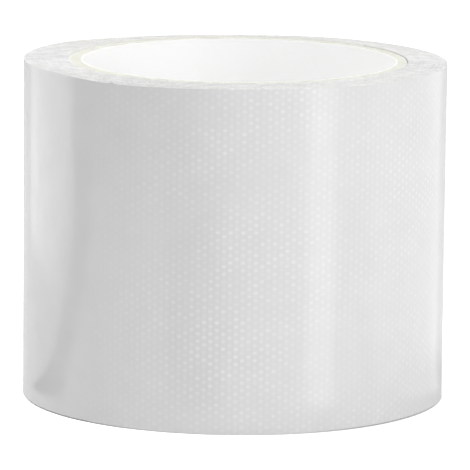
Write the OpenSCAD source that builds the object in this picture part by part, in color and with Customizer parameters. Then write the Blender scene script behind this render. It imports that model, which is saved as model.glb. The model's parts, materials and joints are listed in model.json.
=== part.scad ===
// Roll of woven repair tape. A paper tube of five glued plies carries one long strip of coated
// cloth, wound on it in a spiral, and the strip's free end peels off the outside of the roll.
// Millimetres. The origin is on the roll's axis, at the end face that it stands on, and +Z runs up
// the axis. Angles are in degrees, counter-clockwise about +Z from +X.

/* [Core] */
// Diameter of the hole through the core
core_bore_d = 75; // [50:0.5:90]
// Length of the core, which stands a little proud of the strip at the top
core_l = 80.5; // [60:0.5:110]
// Thickness of the smooth white paper ply that lines the hole
liner_t = 0.4; // [0.2:0.05:0.6]
// Thickness of each of the three board plies
board_t = 0.6; // [0.3:0.05:1]
// Thickness of the smooth paper ply around the outside of the core
wrap_t = 0.3; // [0.2:0.05:0.6]
// Glue line left between two plies
glue_line = 0.02; // [0.01:0.01:0.05]

/* [Strip] */
// Width of the strip
tape_w = 80; // [40:1:100]
// Thickness of the plastic film that coats the cloth
film_t = 0.11; // [0.06:0.01:0.2]
// Thickness of the woven cloth
cloth_t = 0.09; // [0.06:0.01:0.2]
// Thickness of the adhesive
adhesive_t = 0.065; // [0.04:0.005:0.12]
// Gap left between two layers of the strip
layer_gap = 0.005; // [0.005:0.005:0.02]
// Gap left between two turns of the strip
turn_gap = 0.01; // [0.01:0.005:0.05]
// Full turns on the roll, before the length that the free end belongs to
turns = 35; // [5:1:50]
// Direction in which the strip starts on the core
strip_start = 40; // [0:1:90]
// Thickness of the adhesive that the slitting cut drags over the lower edges of the turns
smear_t = 0.03; // [0.02:0.01:0.1]

/* [Free end] */
// Arc that still sticks past the last full turn, up to where the strip can be peeled back
stuck_arc = 25; // [15:1:60]
// Arc of each of the lengths that the free end bends in
bend_arc = 10; // [5:0.5:14]
// Gap between two such lengths
bend_gap = 0.03; // [0.02:0.01:0.1]
// How far the loose end stands off the turn below
loose_gap = 0.05; // [0.05:0.01:0.2]

/* [Hidden] */
// Lengths that the free end bends in
bends = 8;
// Board plies, from the hole outwards
BOARDS = ["inner", "middle", "outer"];
// Angle of half a circle
half_circle = acos(-1);
// How far a cut runs past the face that it opens
cut_past = 1;
// Facets of a full circle in the preview
$fn = 180;

core_bore_r = core_bore_d / 2;
last_board = len(BOARDS) - 1;
board_r = [for (i = [0:last_board]) core_bore_r + liner_t + glue_line + i * (board_t + glue_line)];
wrap_r = board_r[last_board] + board_t + glue_line;
core_r = wrap_r + wrap_t;

// Height of each layer above the strip's sticky side
adhesive_at = 0;
cloth_at = adhesive_t + layer_gap;
film_at = cloth_at + cloth_t + layer_gap;
strip_t = film_at + film_t;

// The strip climbs by one pitch in each turn
pitch = strip_t + turn_gap;
strip_r = core_r + turn_gap;
half_turns = 2 * turns;
lead_r = half_turn_r(half_turns) - turn_gap + loose_gap;
bend_gap_arc = bend_gap / (lead_r + strip_t) * half_circle / PI;

// The spiral is made of half circles. Each has a radius half a pitch larger than the last, and the
// centres of every second one are moved by half a pitch, so that the halves meet without a kink.
function half_turn_r(half) = strip_r + half * pitch / 2;
function half_turn_x(half) = half % 2 * pitch / 2;

// One ply of the core
module ply(inner_r, thickness) {
    difference() {
        cylinder(h = core_l, r = inner_r + thickness);
        translate([0, 0, -cut_past])
            cylinder(h = core_l + 2 * cut_past, r = inner_r);
    }
}

// An arc of one layer of the strip, standing on its edge, from a lower edge up to the strip's width
module layer_arc(inner_r, thickness, from, to, lower_edge = 0) {
    rotate_extrude(angle = to - from, start = from)
        translate([inner_r, lower_edge])
            square([thickness, tape_w - lower_edge]);
}

// One half turn of the spiral, set on its own centre
module half_turn(half) {
    translate([half_turn_x(half), 0, 0])
        rotate([0, 0, half * half_circle])
            children();
}

// One layer of the strip, from its start on the core to the root of the free end
module wound_layer(height, thickness, lower_edge) {
    rotate([0, 0, strip_start]) {
        for (half = [0:half_turns - 1])
            half_turn(half)
                layer_arc(half_turn_r(half) + height, thickness, 0, half_circle, lower_edge);
        layer_arc(half_turn_r(half_turns) + height, thickness, 0, stuck_arc - bend_gap_arc / 2, lower_edge);
    }
}

// The skin of adhesive under all the full turns, as two half rings on the centres of the half turns
module edge_smear() {
    rotate([0, 0, strip_start])
        for (half = [0, 1])
            half_turn(half)
                rotate_extrude(angle = half_circle)
                    translate([half_turn_r(half), 0])
                        square([turns * pitch - turn_gap, smear_t]);
}

// One layer of one of the lengths that the free end bends in
module lead_layer(i, height, thickness) {
    rotate([0, 0, strip_start + stuck_arc + (i - 1) * bend_arc])
        layer_arc(lead_r + height, thickness, bend_gap_arc / 2, bend_arc - bend_gap_arc / 2);
}

module core_liner() {
    color("white")
        ply(core_bore_r, liner_t);
}

module core_board(i) {
    color("antiquewhite")
        ply(board_r[i], board_t);
}

module core_wrap() {
    color("ivory")
        ply(wrap_r, wrap_t);
}

module wound_adhesive() {
    color("whitesmoke") {
        wound_layer(adhesive_at, adhesive_t, 0);
        edge_smear();
    }
}

module wound_cloth() {
    color("gainsboro")
        wound_layer(cloth_at, cloth_t, smear_t);
}

module wound_film() {
    color("white")
        wound_layer(film_at, film_t, smear_t);
}

module lead_adhesive(i) {
    color("whitesmoke")
        lead_layer(i, adhesive_at, adhesive_t);
}

module lead_cloth(i) {
    color("gainsboro")
        lead_layer(i, cloth_at, cloth_t);
}

module lead_film(i) {
    color("white")
        lead_layer(i, film_at, film_t);
}

core_liner();
for (i = [0:last_board])
    core_board(i);
core_wrap();
wound_adhesive();
wound_cloth();
wound_film();
for (i = [1:bends]) {
    lead_adhesive(i);
    lead_cloth(i);
    lead_film(i);
}
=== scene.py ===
"""Looks of a roll of woven repair tape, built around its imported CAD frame.

The roll stands on its end. A paper core of five plies carries one strip of film-coated cloth, wound
on it in a spiral, and the strip's free end peels off the back of the roll. Sizes are in millimetres
and angles in degrees, counter-clockwise about +Z from +X. Meshes are written in metres.
"""

import json
import logging
import math
from collections.abc import Mapping, Sequence
from dataclasses import dataclass, field
from enum import Enum

import bpy
import numpy as np
from mathutils import Matrix, Vector


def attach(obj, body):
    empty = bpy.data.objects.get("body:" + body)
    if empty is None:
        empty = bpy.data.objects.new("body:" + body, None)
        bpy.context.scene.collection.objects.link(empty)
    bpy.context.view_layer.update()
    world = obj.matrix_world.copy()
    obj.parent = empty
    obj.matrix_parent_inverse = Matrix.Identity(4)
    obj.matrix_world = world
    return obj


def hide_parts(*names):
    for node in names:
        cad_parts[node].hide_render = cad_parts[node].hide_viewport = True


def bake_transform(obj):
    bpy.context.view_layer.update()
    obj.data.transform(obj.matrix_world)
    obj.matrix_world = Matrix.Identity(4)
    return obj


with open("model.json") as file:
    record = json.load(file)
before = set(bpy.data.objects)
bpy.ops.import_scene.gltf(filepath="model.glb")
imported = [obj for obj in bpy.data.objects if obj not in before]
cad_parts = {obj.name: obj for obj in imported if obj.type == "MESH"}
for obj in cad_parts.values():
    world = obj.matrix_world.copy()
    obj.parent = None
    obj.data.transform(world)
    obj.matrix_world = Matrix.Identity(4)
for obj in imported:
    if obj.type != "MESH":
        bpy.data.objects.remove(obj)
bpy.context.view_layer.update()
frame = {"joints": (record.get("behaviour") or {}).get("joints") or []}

MM = 0.001
HALF_TURN = 180.0
FULL_TURN = 360.0
# Body that the core and the wound strip ride on
ROLL = "roll"
# Pattern that every piece of the strip carries: length along it and height in mm, and how strongly the weave shows
PATTERN = "strip_mm"
# Edges that turn by more than this stay sharp
SHARP_ANGLE = 35.0

log = logging.getLogger("roll_of_tape")


class Layer(Enum):
    """A layer of the strip, from its sticky side out."""

    ADHESIVE = "adhesive"
    CLOTH = "cloth"
    FILM = "film"


class Slot(Enum):
    """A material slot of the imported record."""

    LINER = "liner_paper"
    BOARD = "core_board"
    WRAP = "wrap_paper"
    ADHESIVE = "tape_adhesive"
    CLOTH = "tape_cloth"
    FILM = "tape_film"


class Ray(Enum):
    """A kind of ray that a stage piece can be hidden from, by the name of its setting."""

    CAMERA = "visible_camera"
    SHADOW = "visible_shadow"
    DIFFUSE = "visible_diffuse"


def smoothstep(share: np.ndarray) -> np.ndarray:
    """Eases 0 to 1 with flat ends: 3 s^2 - 2 s^3, held at 0 and 1 outside."""
    s = np.clip(share, 0.0, 1.0)
    return s * s * (3.0 - 2.0 * s)


def ripple(place: np.ndarray, knots: int, size: float, seed: int) -> np.ndarray:
    """Smooth random heights along a line.

    Knot n has a random height of up to size either way, knots repeat after the given number, and
    heights between two knots are eased by a smoothstep.

    Args:
        place: Places along the line, counted in knots.
        knots: Knots after which the heights repeat.
        size: Largest height.
        seed: Seed of the random heights.

    Returns:
        A height for each place.
    """
    heights = np.random.default_rng(seed).uniform(-size, size, knots)
    first = np.floor(place).astype(int)
    ease = smoothstep(place - first)
    return heights[first % knots] * (1.0 - ease) + heights[(first + 1) % knots] * ease


def hump(place: np.ndarray, width: float, power: int = 2) -> np.ndarray:
    """Falls from 1 at place 0 to 1/e at the width on either side: exp(-(place / width)^power), for an even power."""
    return np.exp(-(place / width) ** power)


def level_place(angle: np.ndarray, radius: np.ndarray) -> tuple[np.ndarray, np.ndarray]:
    """X and Y of points at an angle and a radius about the roll's axis."""
    return radius * np.cos(np.radians(angle)), radius * np.sin(np.radians(angle))


def add_mesh(name: str, points: np.ndarray, faces: Sequence[np.ndarray], materials: Sequence[bpy.types.Material],
             slots: np.ndarray | None = None, pattern: np.ndarray | None = None) -> bpy.types.Object:
    """Puts points and faces into a new object at the origin.

    Args:
        name: Name of the piece.
        points: Places in mm, shaped (points, 3).
        faces: Arrays of point numbers, each shaped (faces, corners of a face).
        materials: The piece's materials.
        slots: Number of each face's material, in the order of the faces.
        pattern: Pattern of the strip, shaped (points, 3).

    Returns:
        The new object.
    """
    mesh = bpy.data.meshes.new(name)
    corners = np.concatenate([f.ravel() for f in faces])
    sizes = np.concatenate([np.full(len(f), f.shape[1]) for f in faces])
    mesh.vertices.add(len(points))
    mesh.vertices.foreach_set("co", (points * MM).astype(np.float32).ravel())
    mesh.loops.add(len(corners))
    mesh.loops.foreach_set("vertex_index", corners.astype(np.int32))
    mesh.polygons.add(len(sizes))
    mesh.polygons.foreach_set("loop_start", (np.cumsum(sizes) - sizes).astype(np.int32))
    for material in materials:
        mesh.materials.append(material)
    if slots is not None:
        mesh.polygons.foreach_set("material_index", slots.astype(np.int32))
    if pattern is not None:
        values = pattern.astype(np.float32).ravel()
        mesh.attributes.new(PATTERN, "FLOAT_VECTOR", "POINT").data.foreach_set("vector", values)
    mesh.polygons.foreach_set("use_smooth", np.ones(len(sizes), dtype=bool))
    mesh.update(calc_edges=True)
    mesh.set_sharp_from_angle(angle=math.radians(SHARP_ANGLE))
    piece = bpy.data.objects.new(name, mesh)
    bpy.context.scene.collection.objects.link(piece)
    return piece


def add_solid(name: str, points: np.ndarray, column_slots: np.ndarray, materials: Sequence[bpy.types.Material],
              pattern: np.ndarray | None = None, ring: bool = False) -> bpy.types.Object:
    """Carries a closed profile along a path and closes it into a solid.

    Row i is the profile at one place on the path. Point (i, j) joins (i + 1, j) and (i, j + 1), and
    the last column joins the first. A path goes counter-clockwise and a profile goes up outside and
    down inside, so that faces point outwards. The first and last rows are capped, or joined to each
    other on a ring.

    Args:
        name: Name of the piece.
        points: Places in mm, shaped (rows, columns, 3).
        column_slots: Number of the material of the faces that start at each column.
        materials: The piece's materials.
        pattern: Pattern of the strip, shaped (rows, columns, 3).
        ring: Whether the last row joins the first.

    Returns:
        The new object.
    """
    rows, columns = points.shape[:2]
    number = np.arange(rows * columns).reshape(rows, columns)
    here = np.vstack([number, number[:1]]) if ring else number
    beside = np.roll(here, -1, axis=1)
    quads = np.stack([here[:-1], here[1:], beside[1:], beside[:-1]], axis=-1).reshape(-1, 4)
    slots = np.tile(column_slots, len(here) - 1)
    faces = [quads]
    if not ring:
        faces.append(np.stack([number[0], number[-1, ::-1]]))
        slots = np.concatenate([slots, np.full(2, column_slots[-1])])
    flat_pattern = None if pattern is None else pattern.reshape(-1, 3)
    return add_mesh(name, points.reshape(-1, 3), faces, materials, slots, flat_pattern)


def add_tubes(name: str, centres: np.ndarray, radii: np.ndarray, across: np.ndarray, upward: np.ndarray, sides: int,
              materials: Sequence[bpy.types.Material]) -> bpy.types.Object:
    """Makes many short capped tubes in one piece.

    A point of a tube is its centre line plus radius * (cos a * across + sin a * upward).

    Args:
        name: Name of the piece.
        centres: Centre lines in mm, shaped (tubes, rings, 3).
        radii: Radii in mm, shaped (tubes, rings).
        across: Unit direction across each tube, shaped (tubes, 3).
        upward: Unit direction square to it, so that across x upward runs along the tube.
        sides: Sides of a tube.
        materials: The piece's materials.

    Returns:
        The new object.
    """
    tubes, rings = radii.shape
    turn = np.radians(np.arange(sides) * FULL_TURN / sides)
    spoke = np.cos(turn)[:, None] * across[:, None, None] + np.sin(turn)[:, None] * upward[:, None, None]
    points = centres[:, :, None] + radii[:, :, None, None] * spoke
    number = np.arange(tubes * rings * sides).reshape(tubes, rings, sides)
    beside = np.roll(number, -1, axis=2)
    quads = np.stack([number[:, :-1], beside[:, :-1], beside[:, 1:], number[:, 1:]], axis=-1).reshape(-1, 4)
    caps = np.concatenate([number[:, 0, ::-1], number[:, -1]])
    return add_mesh(name, points.reshape(-1, 3), [quads, caps], materials)


def add_stage(name: str, corners: np.ndarray, material: bpy.types.Material, hidden_from: Sequence[Ray] = ()) -> None:
    """Adds one flat face to the stage round the roll.

    Args:
        name: Name of the piece.
        corners: Corners in mm, shaped (corners, 3).
        material: The piece's material.
        hidden_from: Rays that the piece is hidden from.
    """
    piece = add_mesh(name, corners, [np.arange(len(corners))[None, :]], [material])
    for ray in hidden_from:
        setattr(piece, ray.value, False)


def register(piece: bpy.types.Object, body: str, nodes: Sequence[str] = ()) -> None:
    """Hides the CAD nodes that a piece stands for, sets it on the body that it rides on, and reports it.

    Args:
        piece: The piece.
        body: Body that it rides on.
        nodes: CAD nodes that it stands for.
    """
    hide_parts(*nodes)
    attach(piece, body)
    log.info("%s rides on %s: %d faces", piece.name, body, len(piece.data.polygons))


def linear(colour: str) -> tuple[float, float, float, float]:
    """Turns an sRGB hex colour into linear RGBA."""
    srgb = [int(colour[i:i + 2], 16) / 255 for i in (1, 3, 5)]
    return (*(c / 12.92 if c <= 0.04045 else ((c + 0.055) / 1.055) ** 2.4 for c in srgb), 1.0)


def add_node(tree: bpy.types.NodeTree, kind: str, inputs: Mapping[str | int, object] | None = None,
             **settings: object) -> bpy.types.Node:
    """Adds a node with its settings and links.

    Args:
        tree: Tree that the node joins.
        kind: Type of the node.
        inputs: For each input, a socket to link or a value to set.
        **settings: Attributes of the node.

    Returns:
        The new node.
    """
    node = tree.nodes.new(kind)
    for name, value in settings.items():
        setattr(node, name, value)
    for name, value in (inputs or {}).items():
        if isinstance(value, bpy.types.NodeSocket):
            tree.links.new(value, node.inputs[name])
        else:
            node.inputs[name].default_value = value
    return node


@dataclass(frozen=True)
class Weave:
    """The plain weave of the cloth, which shows through the film."""

    # Cross threads along the strip, as an arc on the outside of the roll and as a length
    thread_arc: float = 90.0 / 54
    thread: float = 1.46
    # Spacing of the threads across the strip
    pick: float = 80.0 / 92
    # How far the film rises over a crossing, and how peaked a crossing is along the strip and across it
    rise: float = 0.016
    peak: tuple[float, float] = (1.2, 0.6)
    # Share of the relief that runs along the cross threads between the crossings
    ridge: float = 0.2
    # Least share of the rise at a crossing, size of the patches in which crossings fade, and how far they fade
    least: float = 0.3
    patch: float = 11.0
    fade: float = 0.6
    # Crossings after which the random shares repeat, along the strip and across it
    cells: tuple[int, int] = (211, 101)
    # Seeds of the shares and of the first of the patches' three ripples
    share_seed: int = 11
    patch_seed: int = 21
    # Steps of a sheet that shows the weave, for each thread along the strip and across it
    steps: tuple[int, int] = (3, 4)

    def strength(self, length: np.ndarray, height: np.ndarray) -> np.ndarray:
        """How strongly the weave shows: a random share for each crossing, times patches.

        The patches are 1 - fade / 2 plus twice the mean of three ripples in directions 60 degrees
        apart, held between 0 and 1.

        Args:
            length: Places along the strip.
            height: Places across it.

        Returns:
            A strength from 0 to 1 for each place.
        """
        shares = np.random.default_rng(self.share_seed).uniform(self.least, 1.0, self.cells)
        along = np.rint(length / self.thread).astype(int) % self.cells[0]
        across = np.rint(height / self.pick).astype(int) % self.cells[1]
        directions = (0.0, math.pi / 3, 2 * math.pi / 3)
        patches = 1.0 - self.fade / 2 + sum(
            ripple((length * math.cos(a) + height * math.sin(a)) / self.patch, self.cells[0], self.fade / 2, seed)
            for seed, a in enumerate(directions, self.patch_seed)) / (len(directions) / 2)
        return shares[along, across] * np.clip(patches, 0.0, 1.0)

    def grid(self, arc: float, width: float) -> tuple[int, int]:
        """Rows and columns of a sheet of an arc and a width, in steps of the weave."""
        return round(arc / self.thread_arc * self.steps[0]) + 1, round(width / self.pick * self.steps[1]) + 1

    def relief(self, length: np.ndarray, height: np.ndarray) -> np.ndarray:
        """Share of the rise: powers of two cosines where their product is above 0, and a ridge along each thread.

        Args:
            length: Places along the strip.
            height: Places across it.

        Returns:
            A share from 0 to 1 for each place.
        """
        along, across = np.cos(np.pi * length / self.thread), np.cos(np.pi * height / self.pick)
        dots = np.abs(across) ** self.peak[1] * (along * across > 0)
        return np.abs(along) ** self.peak[0] * (self.ridge + (1.0 - self.ridge) * dots)


@dataclass(frozen=True)
class Strip:
    """The strip of tape and the spiral that it is wound in."""

    width: float = 80.0
    film_t: float = 0.11
    cloth_t: float = 0.09
    adhesive_t: float = 0.065
    layer_gap: float = 0.005
    turn_gap: float = 0.01
    # Radius of the sticky side where the strip starts on the core, and the direction of that place
    first_r: float = 40.09
    start: float = 40.0
    turns: int = 35
    # Adhesive dragged over the lower edges, and the gap under the loose end
    smear_t: float = 0.03
    loose_gap: float = 0.05
    # How far the outer turns have settled along X, off the core's axis
    settle: float = -0.6
    weave: Weave = field(default_factory=Weave)

    @property
    def thickness(self) -> float:
        """Thickness of all layers."""
        return self.adhesive_t + self.cloth_t + self.film_t + 2 * self.layer_gap

    @property
    def pitch(self) -> float:
        """Rise of the spiral in one turn."""
        return self.thickness + self.turn_gap

    @property
    def half_turn_r(self) -> np.ndarray:
        """Radius of the sticky side of each half turn."""
        return self.first_r + np.arange(2 * self.turns + 1) * self.pitch / 2

    @property
    def half_turn_end(self) -> np.ndarray:
        """Length of strip at the start and at the end of each half turn, whose own is pi * radius."""
        return np.concatenate([[0.0], np.cumsum(np.pi * self.half_turn_r)])

    @property
    def loose_r(self) -> float:
        """Radius of the sticky side of the loose end."""
        return self.half_turn_r[-1] - self.turn_gap + self.loose_gap

    def span(self, layer: Layer) -> tuple[float, float]:
        """Heights of a layer's faces above the sticky side.

        Args:
            layer: Layer of the strip.

        Returns:
            Height of the inner and of the outer face.
        """
        cloth_at = self.adhesive_t + self.layer_gap
        film_at = cloth_at + self.cloth_t + self.layer_gap
        return {
            Layer.ADHESIVE: (0.0, self.adhesive_t),
            Layer.CLOTH: (cloth_at, cloth_at + self.cloth_t),
            Layer.FILM: (film_at, film_at + self.film_t),
        }[layer]

    def place(self, turn: np.ndarray, height: np.ndarray) -> tuple[np.ndarray, np.ndarray]:
        """Level place of points on the spiral.

        The spiral is made of half circles. Half turn k has radius first_r + k * pitch / 2, and the
        centre of every second one is moved by half a pitch, so that the halves meet without a kink.

        Args:
            turn: Angle wound since the start of the strip.
            height: Height above the sticky side.

        Returns:
            X and Y.
        """
        half = np.floor(turn / HALF_TURN)
        radius = self.first_r + half * self.pitch / 2 + height
        x = half % 2 * self.pitch / 2 + radius * np.cos(np.radians(turn))
        y = radius * np.sin(np.radians(turn))
        cos, sin = math.cos(math.radians(self.start)), math.sin(math.radians(self.start))
        return x * cos - y * sin + self.settled(radius), x * sin + y * cos

    def settled(self, radius: np.ndarray) -> np.ndarray:
        """How far the turns at a radius have settled along X: in proportion to the turns below."""
        return self.settle * np.clip((radius - self.first_r) / (self.turns * self.pitch), 0.0, 1.0)

    def loose_place(self, angle: np.ndarray, radius: np.ndarray) -> tuple[np.ndarray, np.ndarray]:
        """Level place of points on the free end, which lies on the settled turns."""
        x, y = level_place(angle, radius)
        return x + self.settled(radius), y

    def turn_at(self, length: np.ndarray) -> np.ndarray:
        """Angle wound at a length of strip: linear along each half circle."""
        ends = self.half_turn_end
        return np.interp(length, ends, np.arange(len(ends)) * HALF_TURN)

    def length_at(self, turn: np.ndarray) -> np.ndarray:
        """Length of strip at an angle wound, the other way round from turn_at."""
        ends = self.half_turn_end
        return np.interp(turn, np.arange(len(ends)) * HALF_TURN, ends)


@dataclass(frozen=True)
class SlitEdge:
    """How unevenly the strip's cut edge lies over the top of the roll."""

    # Height of the outermost turn above the strip's width, every 30 degrees
    rim: tuple[float, ...] = (0.12, 0.15, 0.15, -0.15, 0.0, 0.48, 0.5, 0.42, -0.3, -0.1, -0.15, 0.05)
    # Height of the turn beside the core, how much it leans, and the direction in which it is lowest
    inner: float = 0.38
    inner_lean: float = 0.45
    inner_low: float = 265.0
    # Turns that lie higher or lower than their neighbours, over about one turn and over a few cm
    wander: float = 0.05
    wander_every: float = 260.0
    sway: float = 0.03
    sway_every: float = 31.0
    # Roughness of each layer's own cut, the length of its waves, and how far the layer's edge sinks
    fray: Mapping[Layer, float] = field(
        default_factory=lambda: {Layer.FILM: 0.02, Layer.CLOTH: 0.025, Layer.ADHESIVE: 0.03})
    fray_every: Mapping[Layer, float] = field(
        default_factory=lambda: {Layer.FILM: 2.3, Layer.CLOTH: 1.1, Layer.ADHESIVE: 3.7})
    sink: Mapping[Layer, float] = field(
        default_factory=lambda: {Layer.FILM: 0.0, Layer.CLOTH: -0.01, Layer.ADHESIVE: 0.01})
    # Rise of the cut thread ends
    bead: float = 0.03
    # How far the outer turns lift off the ground between their feet, the share of turns that don't, and the feet
    lift: float = 0.26
    flat_share: float = 0.75
    feet: int = 3
    foot_at: float = 270.0
    # Knots after which the random heights repeat, and the seeds of the wander, the sway and the first layer's fray
    knots: int = 9973
    wander_seed: int = 1
    sway_seed: int = 2
    fray_seed: int = 3

    def low(self, turn: np.ndarray, strip: Strip) -> np.ndarray:
        """Height of the lower edge: lift * (1 - cos(feet * angle from a foot)) / 2, eased in over the outer turns.

        Args:
            turn: Angle wound since the start of the strip.
            strip: The strip.

        Returns:
            A height above the ground for each angle.
        """
        share = (turn / (strip.turns * FULL_TURN) - self.flat_share) / (1.0 - self.flat_share)
        from_foot = np.radians(self.feet * (strip.start + turn - self.foot_at))
        return self.lift * smoothstep(share) * (1.0 - np.cos(from_foot)) / 2

    def rise(self, layer: Layer, turn: np.ndarray, strip: Strip) -> np.ndarray:
        """Height of a layer's upper edge above the strip's nominal width.

        Args:
            layer: Layer of the strip.
            turn: Angle wound since the start of the strip.
            strip: The strip.

        Returns:
            A height between the innermost and the outermost turn's, plus a slow wander, a sway, the
            layer's fray and, on cloth, the thread ends.
        """
        seed = list(Layer).index(layer) + self.fray_seed
        length, direction = strip.length_at(turn), strip.start + turn
        share = turn / (strip.turns * FULL_TURN)
        knot = direction % FULL_TURN / FULL_TURN * len(self.rim)
        first = np.floor(knot).astype(int) % len(self.rim)
        heights, ease = np.array(self.rim), smoothstep(knot % 1.0)
        outermost = heights[first] * (1.0 - ease) + heights[(first + 1) % len(self.rim)] * ease
        innermost = self.inner - self.inner_lean * np.cos(np.radians(direction - self.inner_low))
        rise = innermost * (1.0 - share) + outermost * share
        rise += ripple(length / self.wander_every, self.knots, self.wander, self.wander_seed)
        rise += ripple(length / self.sway_every, self.knots, self.sway, self.sway_seed)
        rise += ripple(length / self.fray_every[layer], self.knots, self.fray[layer], seed) - self.sink[layer]
        if layer is Layer.CLOTH:
            rise += self.bead * np.cos(2 * np.pi * length / strip.weave.thread)
        return rise


@dataclass(frozen=True)
class Finish:
    """What all finishes share: a name and a colour."""

    name: str
    colour: str

    def start(self, kind: str, inputs: Mapping[str, object]) -> tuple[
            bpy.types.Material, bpy.types.NodeTree, bpy.types.Node]:
        """Makes the material with its shader.

        Args:
            kind: Type of the shader's node.
            inputs: Values of the shader's inputs.

        Returns:
            The material, its node tree and its shader.
        """
        material = bpy.data.materials.new(self.name)
        material.use_nodes = True
        tree = material.node_tree
        tree.nodes.clear()
        shader = add_node(tree, kind, inputs)
        add_node(tree, "ShaderNodeOutputMaterial", {"Surface": shader.outputs["BSDF"]})
        return material, tree, shader


@dataclass(frozen=True)
class PieceFinish(Finish):
    """What the finishes of the roll's pieces share: a roughness and an index of refraction."""

    roughness: float
    ior: float = 1.5

    def start_piece(self) -> tuple[bpy.types.Material, bpy.types.NodeTree, bpy.types.Node]:
        """Makes the material with a Principled BSDF of this colour, roughness and index."""
        return self.start("ShaderNodeBsdfPrincipled", {
            "Base Color": linear(self.colour), "Roughness": self.roughness, "IOR": self.ior})


@dataclass(frozen=True, kw_only=True)
class WovenFinish(PieceFinish):
    """A layer of the strip whose colour, gloss and micro relief follow the weave."""

    # Colour between the crossings of the threads
    dip: str
    # Share of the colour change that comes from the weave; the rest is cloudiness
    weave_share: float = 0.6
    # Sizes of the clouds and of the fine grain of the surface, octaves of their noises, and the grain's depth
    cloud: float = 7.0
    cloud_detail: float = 3.0
    grain: float = 0.45
    grain_detail: float = 2.0
    grain_depth: float = 0.004
    # How much the roughness changes over the clouds
    rough_span: float = 0.08
    # Nap that brightens the surface at a flat angle
    sheen: float = 0.0
    weave: Weave = field(default_factory=Weave)

    def material(self) -> bpy.types.Material:
        """Makes the material: peaks of two cosines along the strip's pattern, clouds and fine grain.

        Returns:
            The new material.
        """
        material, tree, shader = self.start_piece()
        place = add_node(tree, "ShaderNodeAttribute", attribute_name=PATTERN).outputs["Vector"]
        split = add_node(tree, "ShaderNodeSeparateXYZ", {0: place}).outputs
        waves, peaks = [], []
        for axis, spacing, peak in zip("XY", (self.weave.thread, self.weave.pick), self.weave.peak):
            angle = add_node(tree, "ShaderNodeMath", {0: split[axis], 1: math.pi / spacing}, operation="MULTIPLY")
            wave = add_node(tree, "ShaderNodeMath", {0: angle.outputs[0]}, operation="COSINE").outputs[0]
            size = add_node(tree, "ShaderNodeMath", {0: wave}, operation="ABSOLUTE").outputs[0]
            waves.append(wave)
            peaks.append(add_node(tree, "ShaderNodeMath", {0: size, 1: peak}, operation="POWER").outputs[0])
        both = add_node(tree, "ShaderNodeMath", {0: waves[0], 1: waves[1]}, operation="MULTIPLY").outputs[0]
        above = add_node(tree, "ShaderNodeMath", {0: both, 1: 0.0}, operation="GREATER_THAN").outputs[0]
        dots = add_node(tree, "ShaderNodeMath", {0: peaks[1], 1: above}, operation="MULTIPLY").outputs[0]
        dots = add_node(tree, "ShaderNodeMath", {
            0: dots, 1: 1.0 - self.weave.ridge, 2: self.weave.ridge}, operation="MULTIPLY_ADD").outputs[0]
        dots = add_node(tree, "ShaderNodeMath", {0: dots, 1: peaks[0]}, operation="MULTIPLY").outputs[0]
        shown = add_node(tree, "ShaderNodeMath", {0: dots, 1: split["Z"]}, operation="MULTIPLY").outputs[0]
        clouds = add_node(tree, "ShaderNodeTexNoise", {
            "Vector": place, "Scale": 1 / self.cloud, "Detail": self.cloud_detail}).outputs["Fac"]
        woven = add_node(tree, "ShaderNodeMath", {0: shown, 1: self.weave_share}, operation="MULTIPLY").outputs[0]
        tone = add_node(tree, "ShaderNodeMath", {
            0: clouds, 1: 1.0 - self.weave_share, 2: woven}, operation="MULTIPLY_ADD").outputs[0]
        colour = add_node(tree, "ShaderNodeMix", {
            "Factor": tone, 6: linear(self.dip), 7: linear(self.colour)}, data_type="RGBA").outputs[2]
        rough = add_node(tree, "ShaderNodeMapRange", {
            "Value": clouds, "To Min": self.roughness - self.rough_span / 2,
            "To Max": self.roughness + self.rough_span / 2}).outputs[0]
        grain = add_node(tree, "ShaderNodeTexNoise", {
            "Vector": place, "Scale": 1 / self.grain, "Detail": self.grain_detail}).outputs["Fac"]
        bump = add_node(tree, "ShaderNodeBump", {
            "Height": grain, "Distance": self.grain_depth * MM, "Strength": 1.0}).outputs[0]
        tree.links.new(colour, shader.inputs["Base Color"])
        tree.links.new(rough, shader.inputs["Roughness"])
        tree.links.new(bump, shader.inputs["Normal"])
        shader.inputs["Sheen Weight"].default_value = self.sheen
        return material


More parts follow.
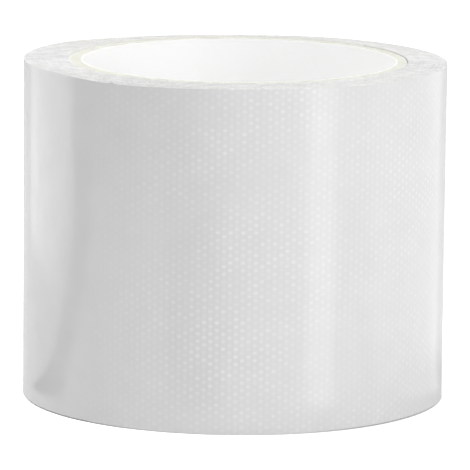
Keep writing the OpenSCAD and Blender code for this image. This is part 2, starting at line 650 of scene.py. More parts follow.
@dataclass(frozen=True, kw_only=True)
class FlecksFinish(PieceFinish):
    """A surface with soft patches and finer flecks in a second colour: cut edges, board and paper."""

    second: str
    # Sizes of the patches and of the flecks, octaves of their noises, and the depth of the flecks' relief
    patch: float
    fleck: float = 0.6
    detail: float = 2.0
    depth: float = 0.02
    # Share of the colour change that comes from the patches
    patch_share: float = 0.6
    # Tones of the noise between which the second colour turns into the first
    turn_from: float = 0.3
    turn_to: float = 0.7

    def material(self) -> bpy.types.Material:
        """Makes the material: two noises on Object coordinates mix two colours, the finer one also as relief.

        Returns:
            The new material.
        """
        material, tree, shader = self.start_piece()
        place = add_node(tree, "ShaderNodeTexCoord").outputs["Object"]
        scaled = add_node(tree, "ShaderNodeMapping", {
            "Vector": place, "Scale": (1 / MM, 1 / MM, 1 / MM)}).outputs[0]
        patches, flecks = (
            add_node(tree, "ShaderNodeTexNoise", {
                "Vector": scaled, "Scale": 1 / size, "Detail": self.detail}).outputs["Fac"]
            for size in (self.patch, self.fleck))
        tone = add_node(tree, "ShaderNodeMix", {"Factor": self.patch_share, 2: flecks, 3: patches}).outputs[0]
        sharper = add_node(tree, "ShaderNodeMapRange", {
            "Value": tone, "From Min": self.turn_from, "From Max": self.turn_to},
            interpolation_type="SMOOTHSTEP").outputs[0]
        colour = add_node(tree, "ShaderNodeMix", {
            "Factor": sharper, 6: linear(self.second), 7: linear(self.colour)}, data_type="RGBA").outputs[2]
        bump = add_node(tree, "ShaderNodeBump", {
            "Height": flecks, "Distance": self.depth * MM, "Strength": 1.0}).outputs[0]
        tree.links.new(colour, shader.inputs["Base Color"])
        tree.links.new(bump, shader.inputs["Normal"])
        return material


@dataclass(frozen=True)
class StageFinish(Finish):
    """A matt stage surface with a colour for light, one for the camera and one for reflections."""

    # Colour values that camera rays see, and that glossy and transmission rays see, where 1 is white
    seen: float = 1.0
    mirrored: float = 1.0

    def material(self) -> bpy.types.Material:
        """Makes the material: the colour for light, mixed with the other two by the kind of ray.

        Returns:
            The new material.
        """
        material, tree, shader = self.start("ShaderNodeBsdfDiffuse", {})
        ray = add_node(tree, "ShaderNodeLightPath").outputs
        mirror = add_node(tree, "ShaderNodeMath", {
            0: ray["Is Glossy Ray"], 1: ray["Is Transmission Ray"]}, operation="MAXIMUM").outputs[0]
        colour = linear(self.colour)
        for kind, value in ((mirror, self.mirrored), (ray["Is Camera Ray"], self.seen)):
            colour = add_node(tree, "ShaderNodeMix", {
                "Factor": kind, 6: colour, 7: (value, value, value, 1.0)}, data_type="RGBA").outputs[2]
        tree.links.new(colour, shader.inputs["Color"])
        return material


@dataclass(frozen=True)
class Looks:
    """All materials of the object, each made once."""

    # Polyethylene film, extruded onto the cloth: a white skin that mirrors softly and rises over each crossing
    film: bpy.types.Material = field(default_factory=WovenFinish(
        "polyethylene_film_extruded_on_cloth", "#E8E8E8", 0.17, dip="#D6D6D6").material)
    # Cotton and polyester cloth, plain woven: matt yarns with a faint nap
    cloth: bpy.types.Material = field(default_factory=WovenFinish(
        "cotton_polyester_cloth_plain_woven", "#EDEDEA", 0.85, dip="#DADAD6", weave_share=0.8, sheen=0.2).material)
    # Rubber and resin adhesive, spread hot: a tacky half gloss over the print of the cloth
    adhesive: bpy.types.Material = field(default_factory=WovenFinish(
        "rubber_resin_adhesive_hot_spread", "#E9E8E4", 0.32, dip="#DFDED8", weave_share=0.35, cloud=4.0,
        grain=0.9, grain_depth=0.02, rough_span=0.2).material)
    # The strip's edges, slit by a knife: white film with smears that the knife dragged along
    film_edge: bpy.types.Material = field(default_factory=FlecksFinish(
        "polyethylene_film_knife_slit", "#E6E6E6", 0.8, 1.3, second="#C4C4C4", patch=3.2).material)
    # Cut yarn ends: matt, a little darker than the cloth's face, with darker flecks at random
    cloth_edge: bpy.types.Material = field(default_factory=FlecksFinish(
        "cotton_polyester_cloth_knife_slit", "#DEDEDE", 0.9, 1.25, second="#BBBBBB", patch=3.2, fleck=0.9).material)
    # Adhesive squeezed out between the turns: greyish, and glossier than the cloth
    adhesive_edge: bpy.types.Material = field(default_factory=FlecksFinish(
        "rubber_resin_adhesive_squeezed_out", "#DCDCDC", 0.6, 1.3, second="#BDBDBD", patch=4.4).material)
    # Chip board, wound and cut: cream, matt and fibrous
    board: bpy.types.Material = field(default_factory=FlecksFinish(
        "paper_board_wound_and_cut", "#D3D3CA", 0.9, second="#C9C9BE", patch=3.0, fleck=0.35).material)
    # Bleached paper, calendered: smooth, bright and nearly even
    liner: bpy.types.Material = field(default_factory=FlecksFinish(
        "bleached_paper_calendered", "#FCFCFC", 0.6, second="#FAFAF9", patch=9.0, fleck=1.2, depth=0.004).material)
    # The same paper, knife cut: matt and fibrous, so it looks darker than the smooth face
    liner_edge: bpy.types.Material = field(default_factory=FlecksFinish(
        "bleached_paper_knife_cut", "#E6E6E2", 0.9, second="#DCDCD6", patch=2.5, fleck=0.5).material)
    # Bleached paper, glue-sized: a plain white, duller than the liner
    wrap: bpy.types.Material = field(default_factory=FlecksFinish(
        "bleached_paper_glue_sized", "#DDDDDC", 0.75, second="#D2D2D2", patch=5.0, fleck=0.8).material)

    def layer(self, layer: Layer) -> list[bpy.types.Material]:
        """Materials of a layer's faces and of its cut edges."""
        return [getattr(self, layer.value), getattr(self, f"{layer.value}_edge")]


@dataclass(frozen=True)
class Core:
    """The paper tube: a liner, three board plies and an outer wrap."""

    bore_r: float = 37.5
    length: float = 80.5
    liner_t: float = 0.4
    board_t: float = 0.6
    wrap_t: float = 0.3
    glue_line: float = 0.02
    # Steps round a board or the wrap, and round the liner away from its seam
    ply_steps: int = 720
    liner_steps: int = 360
    # Unevenness of the cut end, how much it is cut askew, and the direction in which it is lowest
    fray: float = 0.04
    fray_every: float = 1.6
    skew: float = 0.27
    skew_low: float = 270.0
    # Bruise that presses the inside of the upper end inwards: how far, in which direction and how deep down
    bruise: float = 0.9
    bruise_at: float = 180.0
    bruise_deep: float = 14.0
    bruise_steps: int = 6
    # Open joint of the spirally wound liner: its place at the top, its turn down the tube and its size
    seam_at: float = 275.0
    seam_turn: float = 150.0
    seam_w: float = 0.7
    seam_depth: float = 0.06
    # Steps across the joint, and how many of its widths they reach to either side
    seam_steps: int = 41
    seam_reach: float = 3.0
    # Points down each face of the liner, and how much they crowd towards the cut end
    liner_columns: int = 41
    liner_crowd: float = 1.6
    # Seeds of the liner's cut end and, times a ply's number, of the other plies' ends
    liner_seed: int = 1
    ply_seed: int = 10

    def plies(self) -> dict[str, tuple[float, float]]:
        """Sizes of the plies, from the hole outwards.

        Returns:
            Inner and outer radius of each ply, by the name of its node.
        """
        names = ["core_liner", "core_board_inner", "core_board_middle", "core_board_outer", "core_wrap"]
        sizes = [self.liner_t, self.board_t, self.board_t, self.board_t, self.wrap_t]
        inner = self.bore_r + np.concatenate([[0.0], np.cumsum(np.array(sizes) + self.glue_line)[:-1]])
        return {name: (r, r + t) for name, r, t in zip(names, inner.tolist(), sizes)}

    def cut_end(self, angle: np.ndarray, seed: int) -> np.ndarray:
        """Height of the cut end round a ply: the length less the skew and a random fray that closes on itself.

        Args:
            angle: Directions round the ply.
            seed: Seed of the fray.

        Returns:
            A height for each direction.
        """
        knots = round(2 * math.pi * self.bore_r / self.fray_every)
        askew = self.skew * (1.0 + np.cos(np.radians(angle - self.skew_low)))
        fray = ripple(angle % FULL_TURN / FULL_TURN * knots, knots, self.fray, seed)
        return self.length - self.fray - askew - fray

    def bruised(self, radius: np.ndarray, angle: np.ndarray, under: np.ndarray) -> np.ndarray:
        """Radius in the bruise: less by the most at the hole, and by nothing at the outside of the core.

        Args:
            radius: Radius without the bruise.
            angle: Direction of each point.
            under: Depth of each point under the cut end.

        Returns:
            The radius, less by the product of a share of the wall, of the direction and of the depth.
        """
        outside = max(outer for _, outer in self.plies().values())
        through = (outside - radius) / (outside - self.bore_r)
        side = np.clip(np.cos(np.radians(angle - self.bruise_at)), 0.0, None) ** 2
        return radius - self.bruise * through * side * smoothstep(1.0 - under / self.bruise_deep)

    def wall(self, radius: np.ndarray, angle: np.ndarray, top: np.ndarray, z: np.ndarray) -> np.ndarray:
        """Points of a ply's face at a radius and at heights under its cut end, with the bruise."""
        return np.stack([*level_place(angle, self.bruised(radius, angle, top - z)), z], axis=-1)

    def ply(self, node: str, inner: float, outer: float, seed: int, material: bpy.types.Material) -> bpy.types.Object:
        """Makes a board or wrap ply: a rectangle carried round the axis, with an uneven upper end.

        Args:
            node: CAD node that the ply stands for.
            inner: Inner radius.
            outer: Outer radius.
            seed: Seed of the uneven end.
            material: The ply's material.

        Returns:
            The new object.
        """
        angle = np.linspace(0.0, FULL_TURN, self.ply_steps, endpoint=False)[:, None]
        up = np.concatenate([[0.0], 1.0 - np.linspace(self.bruise_deep / self.length, 0.0, self.bruise_steps)])[None, :]
        walls = []
        for radius, share, at in ((outer, up, seed), (inner, up[:, ::-1], seed + 1)):
            top = self.cut_end(angle, at)
            walls.append(self.wall(radius, angle, top, top * share))
        points = np.concatenate(walls, axis=1)
        return add_solid(f"{node}_ply", points, np.zeros(points.shape[1]), [material], ring=True)

    def liner(self, inner: float, outer: float, material: bpy.types.Material,
              cut: bpy.types.Material) -> bpy.types.Object:
        """Makes the liner: rows turn as they go down, so that its open joint runs along one row.

        The joint is a groove of depth * exp(-(distance / half width)^2) in the inner face.

        Args:
            inner: Inner radius.
            outer: Outer radius.
            material: The liner's material.
            cut: The material of its cut end.

        Returns:
            The new object.
        """
        beside = np.linspace(-self.seam_reach, self.seam_reach, self.seam_steps) * math.degrees(self.seam_w / inner)
        away = np.linspace(beside[-1], FULL_TURN + beside[0], self.liner_steps)[1:-1]
        from_seam = np.concatenate([beside, away])[:, None]
        down = np.linspace(0.0, 1.0, self.liner_columns)[None, :] ** self.liner_crowd
        shift = np.minimum(from_seam, FULL_TURN - from_seam) * math.radians(1.0) * inner
        groove = self.seam_depth * hump(shift, self.seam_w / 2)
        angle = self.seam_at + from_seam + self.seam_turn * down
        top = self.cut_end(angle[:, :1], self.liner_seed)
        inside, outside = (self.wall(radius, angle, top, top * (1.0 - down)) for radius in (inner + groove, outer))
        points = np.concatenate([outside[:, ::-1], inside], axis=1)
        slots = np.zeros(points.shape[1])
        slots[self.liner_columns - 1] = 1
        return add_solid("core_liner_tube", points, slots, [material, cut], ring=True)

    def build(self, looks: Looks) -> None:
        """Makes the five plies and sets them on the roll.

        Args:
            looks: The materials.
        """
        slots = {"core_liner": (Slot.LINER, looks.liner), "core_wrap": (Slot.WRAP, looks.wrap)}
        for number, (node, (inner, outer)) in enumerate(self.plies().items()):
            slot, material = slots.get(node, (Slot.BOARD, looks.board))
            if slot is Slot.LINER:
                piece = self.liner(inner, outer, material, looks.liner_edge)
            else:
                piece = self.ply(node, inner, outer, self.ply_seed * number, material)
            register(piece, ROLL, [node])


@dataclass(frozen=True)
class WoundStrip:
    """The strip as it is wound on the core, up to where the free end starts to lift."""

    strip: Strip = field(default_factory=Strip)
    edge: SlitEdge = field(default_factory=SlitEdge)
    # Angle wound at which the outer wrap starts, one turn before it ends under the free end
    wrap_start: float = 34 * FULL_TURN + 20.0
    # Pieces that the wrap is made in
    wraps: int = 4
    # Steps of the inner turns for each thread
    turn_steps: int = 4
    # Direction in which the weave's relief and colour dots fade most, how wide and how flat that place is, and how much
    # they fade; the relief is real, the fading dots are painted light where the light shows the weave least
    smooth_at: float = 205.0
    smooth_arc: float = 38.0
    smooth_power: int = 4
    smooth: float = 0.95
    # Direction in which the weave's relief and colour dots are strongest, how wide that place is and how much stronger
    # they are there; the relief is real, the stronger dots are painted light where the light shows the weave most
    bold_at: float = 267.0
    bold_arc: float = 11.0
    bold: float = 1.15
    # A tooth of film that stands out of the rim: direction, arc and height
    tooth_at: float = 235.8
    tooth_arc: float = 0.8
    tooth: float = 0.35
    # Height over which the threads' ends swell the rim, by how much, and the side where they swell it most; elsewhere
    # they swell it by the least share
    rim: float = 0.6
    rim_rise: float = 0.06
    rim_least: float = 0.25
    rim_at: float = 305.0
    rim_arc: float = 40.0
    # Steps of the smear round the roll and across each turn, and its relief
    smear_steps: int = 360
    smear_turn_steps: int = 4
    smear_relief: float = 0.012

    def turns(self, layer: Layer, first: float, last: float, name: str, looks: Looks) -> bpy.types.Object:
        """Makes a stretch of one wound layer: its rectangle carried along the spiral, with an uneven upper edge.

        Args:
            layer: Layer of the strip.
            first: Angle wound at its start.
            last: Angle wound at its end.
            name: Name of the piece.
            looks: The materials.

        Returns:
            The new object.
        """
        strip = self.strip
        ends = strip.length_at(first), strip.length_at(last)
        rows = round((ends[1] - ends[0]) / strip.weave.thread * self.turn_steps) + 1
        length = np.linspace(*ends, rows)[:, None]
        inner, outer = strip.span(layer)
        turn = strip.turn_at(length)
        x, y = strip.place(turn, np.array([[outer, outer, inner, inner]]))
        top = strip.width + self.edge.rise(layer, turn, strip)
        low = strip.smear_t + self.edge.low(turn, strip)
        z = np.hstack([low, top, top, low])
        pattern = np.stack([np.broadcast_to(length, z.shape), z, np.ones_like(z)], axis=-1)
        return add_solid(name, np.stack([x, y, z], axis=-1), np.array([0, 1, 0, 1]), looks.layer(layer), pattern)

    def wrap(self, number: int, looks: Looks) -> bpy.types.Object:
        """Makes a quarter of the outer film: a sheet whose outer face rises over each crossing of the cloth.

        Args:
            number: Which quarter, from 0.
            looks: The materials.

        Returns:
            The new object.
        """
        strip, weave = self.strip, self.strip.weave
        arc = FULL_TURN / self.wraps
        rows, columns = weave.grid(arc, strip.width)
        wound = (arc * number + np.linspace(0.0, arc, rows))[:, None]
        turn = self.wrap_start + wound
        # Quarters meet halfway between two crossings, where the relief is flat
        length = (wound / weave.thread_arc + 0.5) * weave.thread
        direction = (strip.start + turn) % FULL_TURN
        beads = self.rim_rise * (self.rim_least + hump(direction - self.rim_at, self.rim_arc))
        beads = beads * np.cos(2 * np.pi * length / weave.thread)
        top = strip.width + self.edge.rise(Layer.FILM, turn, strip) + beads
        top += self.tooth * hump(direction - self.tooth_at, self.tooth_arc)
        up = np.linspace(0.0, 1.0, columns)[None, :]
        low = strip.smear_t + self.edge.low(turn, strip)
        z = low + (top - low) * up
        near_rim = smoothstep(1.0 - (top - z) / self.rim)
        # Strength by direction round the roll: painted light in the colour dots, real relief in the film
        strength = weave.strength(length, z) * (
            1.0 - self.smooth * hump(direction - self.smooth_at, self.smooth_arc, self.smooth_power)
            + self.bold * hump(direction - self.bold_at, self.bold_arc))
        relief = weave.rise * strength * weave.relief(length, z) + near_rim * beads
        inner, outer = strip.span(Layer.FILM)
        x, y = strip.place(turn, outer + relief)
        outside = np.stack([x, y, z], axis=-1)
        x, y = strip.place(turn, np.full((1, 2), inner))
        inside = np.stack([x, y, z[:, [-1, 0]]], axis=-1)
        points = np.concatenate([outside, inside], axis=1)
        strength = np.concatenate([strength, strength[:, [-1, 0]]], axis=1)
        pattern = np.stack([np.broadcast_to(length, strength.shape), points[..., 2], strength], axis=-1)
        slots = np.zeros(points.shape[1])
        slots[[columns - 1, -1]] = 1
        return add_solid(f"film_wrap_{number + 1}", points, slots, looks.layer(Layer.FILM), pattern)

    def smear(self, looks: Looks) -> bpy.types.Object:
        """Makes the adhesive under the lower edges: a flat ring whose underside is printed with the turns.

        The print is relief * (1 - cos(2 pi * depth / pitch)) / 2 above the ground, where depth is
        counted from the spiral's own inner edge.

        Args:
            looks: The materials.

        Returns:
            The new object.
        """
        strip = self.strip
        turn = np.linspace(0.0, FULL_TURN, self.smear_steps, endpoint=False)[:, None]
        columns = self.smear_turn_steps * strip.turns + 1
        depth = np.linspace(0.0, strip.turns * strip.pitch - strip.turn_gap, columns)[None, :]
        print_rise = self.smear_relief * (1.0 - np.cos(2 * np.pi * depth / strip.pitch)) / 2
        x, y = strip.place(turn, np.hstack([depth, depth[:, [-1, 0]]]))
        wound = np.floor(depth / strip.pitch) * FULL_TURN + turn
        low = self.edge.low(wound, strip)
        z = np.hstack([low + print_rise, strip.smear_t + low[:, [-1, 0]]])
        points = np.stack([x, y, z], axis=-1)
        return add_solid("adhesive_smear", points, np.zeros(points.shape[1]), [looks.adhesive_edge], ring=True)

    def build(self, looks: Looks) -> None:
        """Makes the inner and outer turns of each layer, the outer wrap and the smear.

        Args:
            looks: The materials.
        """
        middle = round(self.strip.turns / 2) * FULL_TURN
        for layer in Layer:
            last = self.wrap_start + (0.0 if layer is Layer.FILM else FULL_TURN)
            for part, ends in (("inner", (0.0, middle)), ("outer", (middle, last))):
                piece = self.turns(layer, *ends, f"{layer.value}_turns_{part}", looks)
                register(piece, ROLL, [f"wound_{layer.value}"])
        for number in range(self.wraps):
            register(self.wrap(number, looks), ROLL, ["wound_film"])
        register(self.smear(looks), ROLL, ["wound_adhesive"])


@dataclass(frozen=True)
class FreeEnd:
    """The loose end of the strip, in lengths that each span one hinge."""

    # Directions of the hinges
    hinges: tuple[float, ...]
    strip: Strip = field(default_factory=Strip)
    edge: SlitEdge = field(default_factory=SlitEdge)
    # Share of a length on each side of a hinge, at which a point is taken
    bend_share: float = 0.45
    # Unevenness of the cut at the tip, as an arc, the length of its waves and its seed
    cut_arc: float = 0.22
    cut_every: float = 3.1
    cut_seed: int = 41
    # Print of the cloth in the sticky side
    print_rise: float = 0.006
    # Cut threads that stand out of the tip: radius, how far they stand out at most and at least, as a share before it
    # is squared, how far they lean, how much they taper, and their seed
    thread_r: float = 0.035
    thread_out: float = 0.9
    thread_least: float = 0.25
    thread_lean: float = 0.25
    thread_taper: float = 0.6
    thread_seed: int = 7
    thread_sides: int = 6
    thread_rings: int = 5

    @property
    def arc(self) -> float:
        """Arc of one length."""
        return self.hinges[1] - self.hinges[0]

    @property
    def tip(self) -> float:
        """Direction of the cut end, one length past the last hinge."""
        return 2 * self.hinges[-1] - self.hinges[-2]

    def base_r(self, angle: np.ndarray) -> np.ndarray:
        """Radius of the sticky side: eased from the last turn's to the loose end's before the first hinge.

        Args:
            angle: Directions along the free end.

        Returns:
            A radius for each direction.
        """
        strip = self.strip
        share = (angle - self.hinges[0] + self.arc / 2) / (self.arc / 2)
        return strip.half_turn_r[-1] + (strip.loose_r - strip.half_turn_r[-1]) * smoothstep(share)

    def point(self, angle: float) -> tuple[float, float, float]:
        """Point in metres on the outside of the strip, at half its width."""
        x, y = self.strip.loose_place(np.array(angle), np.array(self.strip.loose_r + self.strip.thickness))
        return float(x) * MM, float(y) * MM, self.strip.width / 2 * MM

    def length_piece(self, number: int, layer: Layer, looks: Looks) -> bpy.types.Object:
        """Makes one layer of one length: a sheet from half a length before its hinge to half a length after.

        The film's outer face rises over each crossing of the cloth, and the adhesive's inner face
        carries the print of it. The last length runs on to the uneven cut.

        Args:
            number: Which length, from 0.
            layer: Layer of the strip.
            looks: The materials.

        Returns:
            The new object.
        """
        strip, weave = self.strip, self.strip.weave
        first = self.hinges[number] - self.arc / 2
        is_tip = number == len(self.hinges) - 1
        last = self.tip if is_tip else first + self.arc
        rows, columns = weave.grid(last - first, strip.width)
        up = np.linspace(0.0, 1.0, columns)[None, :]
        along = np.linspace(0.0, 1.0, rows)[:, None]
        cut = -self.cut_arc * (1.0 + ripple(up * strip.width / self.cut_every, columns, 1.0, self.cut_seed)) / 2
        angle = first + (last - first + (cut if is_tip else 0.0)) * along + 0.0 * up
        length = ((angle - self.hinges[0] + self.arc / 2) / weave.thread_arc + 0.5) * weave.thread
        turn = strip.turns * FULL_TURN + angle[:, :1] - strip.start
        top = strip.width + self.edge.rise(layer, turn, strip)
        low = self.edge.low(turn, strip)
        z = low + (top - low) * up
        strength = weave.strength(length, z)
        weave_rise = strength * weave.relief(length, z)
        inner, outer = strip.span(layer)
        base = self.base_r(angle)
        outer_r = base + outer + (weave.rise * weave_rise if layer is Layer.FILM else 0.0)
        inner_r = base + inner + (self.print_rise * (1.0 + weave_rise) if layer is Layer.ADHESIVE else 0.0)
        outside = np.stack([*strip.loose_place(angle, outer_r), z], axis=-1)
        inside = np.stack([*strip.loose_place(angle, inner_r), z], axis=-1)[:, ::-1]
        # Only the side that shows keeps its fine steps
        if layer is Layer.FILM:
            inside = inside[:, [0, -1]]
            strength = np.concatenate([strength, strength[:, [-1, 0]]], axis=1)
        else:
            outside = outside[:, [0, -1]]
            strength = np.concatenate([strength[:, [0, -1]], strength[:, ::-1]], axis=1)
        points = np.concatenate([outside, inside], axis=1)
        pattern = np.stack([np.broadcast_to(length[:, :1], strength.shape), points[..., 2], strength], axis=-1)
        slots = np.zeros(points.shape[1])
        slots[[outside.shape[1] - 1, -1]] = 1
        return add_solid(f"free_{layer.value}_{number + 1}", points, slots, looks.layer(layer), pattern)

    def thread_ends(self, looks: Looks) -> bpy.types.Object:
        """Makes the cut threads at the tip: short tubes along the strip that taper and droop at random.

        Args:
            looks: The materials.

        Returns:
            The new object.
        """
        strip = self.strip
        count = round(strip.width / (2 * strip.weave.pick))
        random = np.random.default_rng(self.thread_seed)
        z = (np.arange(count) + 0.5) * 2 * strip.weave.pick
        out = self.thread_out * random.uniform(self.thread_least, 1.0, count) ** 2 + self.cut_arc
        step = np.linspace(0.0, 1.0, self.thread_rings)[None, :]
        angle = self.tip - 2 * self.cut_arc + np.degrees(out[:, None] * step / strip.loose_r)
        inner, outer = strip.span(Layer.CLOTH)
        radius = strip.loose_r + (inner + outer) / 2 + 0.0 * angle
        lean = random.uniform(-self.thread_lean, self.thread_lean, (count, 1)) * step ** 2
        centres = np.stack([*strip.loose_place(angle, radius), z[:, None] + lean], axis=-1)
        radii = self.thread_r * (1.0 - self.thread_taper * step) * np.ones((count, 1))
        outward = np.tile(np.array([*level_place(np.array(self.tip), np.array(1.0)), 0.0]), (count, 1))
        upward = np.tile([0.0, 0.0, 1.0], (count, 1))
        return add_tubes("free_thread_ends", centres, radii, upward, outward, self.thread_sides, [looks.cloth])

    def build(self, looks: Looks) -> None:
        """Makes the three layers of each length, then the thread ends, which it sets on the last body.

        Args:
            looks: The materials.
        """
        bodies = [ROLL] + [f"free_end_{n + 1}" for n in range(len(self.hinges))]
        reach = self.arc * self.bend_share
        for number, hinge in enumerate(self.hinges):
            # The first length's point is taken at its hinge, because the turn below carries it up to there
            start = self.point(hinge - (reach if number else 0.0))
            for layer in Layer:
                piece = self.length_piece(number, layer, looks)
                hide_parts(f"lead_{layer.value}_{number + 1}")
                self.point(hinge + reach)
                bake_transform(piece)
                log.info("%s bends from %s to %s", piece.name, bodies[number], bodies[number + 1])
        register(self.thread_ends(looks), bodies[-1])


@dataclass(frozen=True)
class Lamp:
    """A soft box, placed round the roll."""

    name: str
    # Direction from the roll, to the right of the camera and above level, and the distance
    right: float
    above: float
    distance: float
    width: float
    height: float
    # Brightness of its face, where 1 is as bright as a lit white sheet
    level: float

    def build(self, aim: Vector) -> None:
        """Adds the lamp, facing the point that the camera looks at.

        Args:
            aim: That point, in metres.
        """
        right, above = math.radians(self.right), math.radians(self.above)
        away = Vector((math.sin(right) * math.cos(above), -math.cos(right) * math.cos(above), math.sin(above)))
        light = bpy.data.lights.new(self.name, "AREA")
        light.shape = "RECTANGLE"
        light.size, light.size_y = self.width * MM, self.height * MM
        light.energy = self.level * math.pi * light.size * light.size_y
        lamp = bpy.data.objects.new(self.name, light)
        bpy.context.scene.collection.objects.link(lamp)
        lamp.location = aim + away * self.distance * MM
        lamp.rotation_euler = away.to_track_quat("Z", "Y").to_euler()


@dataclass(frozen=True)
class Sheet:
    """A sheet on the floor that only reflections in the roll show: a painted reflection in the film, light as a painted
    highlight or dark as painted shade.
    """

    name: str
    # Colour value that reflections see, where 1 is white
    mirrored: float
    corners: tuple[tuple[float, float], ...]
    # Height over the floor, so that one sheet can lie on another
    z: float = 0.01
    # Colour as light, which the roll gets none of
    colour: str = "#808080"

    def build(self) -> None:
        """Adds the sheet, hidden from the camera and from the light on the roll and the floor."""
        points = np.column_stack([self.corners, np.full(len(self.corners), self.z)])
        finish = StageFinish(f"{self.name}_matt", self.colour, mirrored=self.mirrored).material()
        add_stage(self.name, points, finish, list(Ray))


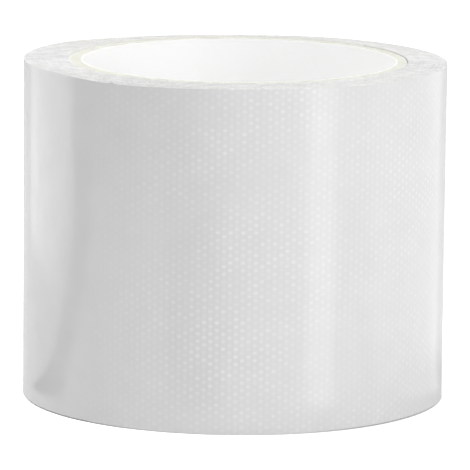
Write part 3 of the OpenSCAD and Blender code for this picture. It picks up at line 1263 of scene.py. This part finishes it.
@dataclass(frozen=True)
class Studio:
    """Floor, light and camera of the photograph."""

    # Point on the roll's middle plane that the camera looks at, and how it stands to it
    aim: tuple[float, float, float] = (-0.2, 0.0, 38.05)
    distance: float = 1090.5
    elevation: float = 9.604
    roll: float = 0.608
    lens: float = 350.2
    sensor: float = 36.0
    # Floor: its size, the gap that keeps it clear of the roll's underside, and its paper, which is white to the camera
    # outside the roll's shadow
    floor_size: float = 9000.0
    floor_gap: float = 0.02
    paper: StageFinish = StageFinish("seamless_paper_matt", "#CDCDCD", seen=1.3, mirrored=0.72)
    # Strength of the surroundings as light; they look white, which is 1
    ambient: float = 0.6
    # Dark card that shades the front left: direction, distance, width and height
    card_right: float = -58.0
    card_distance: float = 420.0
    card_w: float = 640.0
    card_h: float = 520.0
    felt: StageFinish = StageFinish("black_felt", "#2A2A2A", mirrored=0.02)
    # Sheets that only the film's reflections show, each with what it gives the wall: painted reflections, the light
    # ones as painted highlights and the dark ones as painted shade
    sheets: tuple[Sheet, ...] = (
        # Behind on the left: a painted reflection, the soft bright band near the wall's left edge
        Sheet("painted_reflection_left", 1.3, (
            (-205.0, 50.0), (-185.0, 180.0), (-588.0, 800.0), (-900.0, 800.0), (-900.0, 30.0), (-338.0, 0.0))),
        # Behind on the right: a painted reflection that keeps the wall's right side light
        Sheet("painted_reflection_right", 1.15, (
            (56.0, 5.0), (79.0, 39.0), (518.0, 800.0), (900.0, 800.0), (900.0, -200.0), (70.0, -40.0))),
        # Painted shade: a dark strip that only reflections show, from the roll's foot out to the left, which gives the
        # wall its dark streak
        Sheet("painted_shade_streak", 0.02, (
            (-60.0, -2.0), (-58.0, -18.0), (-64.0, -24.0), (-105.0, -18.0), (-147.0, -24.0), (-190.0, -35.0),
            (-338.0, -76.0), (-600.0, -125.0), (-600.0, 45.0), (-450.0, 22.0), (-338.0, -2.0), (-234.0, -1.0),
            (-186.0, 6.0), (-100.0, 5.0), (-66.0, 2.0)), 0.02),
        # In front on the left: painted shade in the reflection, the step in the middle of the wall
        Sheet("painted_shade_front_left", 0.1, ((-6.0, -80.0), (-50.0, -498.0), (-280.0, -412.0), (-33.0, -72.0))),
        # In front on the right: a painted highlight, brighter than white, the soft bright band
        Sheet("painted_highlight_front_right", 2.0, ((36.0, -70.0), (403.0, -507.0), (521.0, -380.0), (48.0, -61.0))),
    )
    lamps: tuple[Lamp, ...] = (
        Lamp("soft_box_right", 46.0, 16.0, 900.0, 220.0, 620.0, 4.8),
        Lamp("soft_box_front", 5.0, 42.0, 1000.0, 700.0, 500.0, 2.25),
        Lamp("soft_box_high_left", -80.0, 60.0, 900.0, 400.0, 400.0, 5.5),
        Lamp("soft_box_left", -105.0, 45.0, 900.0, 400.0, 400.0, 5.0),
        Lamp("soft_box_high_right", 75.0, 35.0, 1000.0, 500.0, 500.0, 0.7),
        Lamp("soft_box_behind_right", 135.0, 14.0, 900.0, 300.0, 500.0, 2.0),
        Lamp("soft_box_behind", 180.0, 50.0, 1000.0, 700.0, 500.0, 0.7),
    )

    def floor(self) -> None:
        """Adds a white floor that keeps the roll's shadow."""
        half = self.floor_size / 2
        corner = np.array([[-half, -half], [half, -half], [half, half], [-half, half]])
        points = np.column_stack([corner, np.full(len(corner), -self.floor_gap)])
        add_stage("floor", points, self.paper.material())

    def shade(self) -> None:
        """Adds the dark card, which the camera doesn't see."""
        right = math.radians(self.card_right)
        centre = np.array([math.sin(right), -math.cos(right), 0.0]) * self.card_distance
        side = np.array([math.cos(right), math.sin(right), 0.0]) * self.card_w / 2
        top = np.array([0.0, 0.0, self.card_h])
        card = np.array([centre - side, centre + side, centre + side + top, centre - side + top])
        add_stage("dark_card", card, self.felt.material(), [Ray.CAMERA, Ray.SHADOW])

    def world(self) -> None:
        """Adds even white surroundings: full strength where they are looked at, less as light."""
        world = bpy.data.worlds.new("white_studio")
        bpy.context.scene.world = world
        world.use_nodes = True
        tree = world.node_tree
        tree.nodes.clear()
        ray = add_node(tree, "ShaderNodeLightPath").outputs
        looked = add_node(tree, "ShaderNodeMath", {
            0: ray["Is Camera Ray"], 1: ray["Is Glossy Ray"]}, operation="MAXIMUM").outputs[0]
        looked = add_node(tree, "ShaderNodeMath", {
            0: looked, 1: ray["Is Transmission Ray"]}, operation="MAXIMUM").outputs[0]
        strength = add_node(tree, "ShaderNodeMapRange", {"Value": looked, "To Min": self.ambient}).outputs[0]
        light = add_node(tree, "ShaderNodeBackground", {"Color": linear("#FFFFFF"), "Strength": strength})
        add_node(tree, "ShaderNodeOutputWorld", {"Surface": light.outputs[0]})

    def camera(self) -> None:
        """Adds the camera: level with X, tipped down by its elevation and turned by its small roll."""
        tip, roll = math.radians(self.elevation), math.radians(self.roll)
        forward = Vector((0.0, math.cos(tip), -math.sin(tip)))
        level, upright = Vector((1.0, 0.0, 0.0)), Vector((0.0, math.sin(tip), math.cos(tip)))
        right = level * math.cos(roll) + upright * math.sin(roll)
        above = upright * math.cos(roll) - level * math.sin(roll)
        data = bpy.data.cameras.new("photo_camera")
        data.lens, data.sensor_width = self.lens, self.sensor
        camera = bpy.data.objects.new("photo_camera", data)
        bpy.context.scene.collection.objects.link(camera)
        camera.matrix_world = Matrix.Translation((Vector(self.aim) - forward * self.distance) * MM) @ Matrix(
            (right, above, -forward)).transposed().to_4x4()
        bpy.context.scene.camera = camera

    def build(self) -> None:
        """Sets the stage, the light and the camera."""
        bpy.context.scene.view_settings.view_transform = "Standard"
        self.camera()
        self.floor()
        self.shade()
        self.world()
        for sheet in self.sheets:
            sheet.build()
        for lamp in self.lamps:
            lamp.build(Vector(self.aim) * MM)


def hinge_directions() -> tuple[float, ...]:
    """Directions of the free end's hinges, from the frame's joints in their order."""
    places = [joint["pos_m"] for joint in frame["joints"]]
    return tuple(round(math.degrees(math.atan2(y, x)), 3) for x, y, _ in places)


def main() -> None:
    """Builds the studio, the core, the wound strip and its free end."""
    logging.basicConfig(level=logging.INFO, format="%(name)s: %(message)s")
    Studio().build()
    looks = Looks()
    Core().build(looks)
    WoundStrip().build(looks)
    FreeEnd(hinge_directions()).build(looks)


if __name__ == "__main__":
    main()
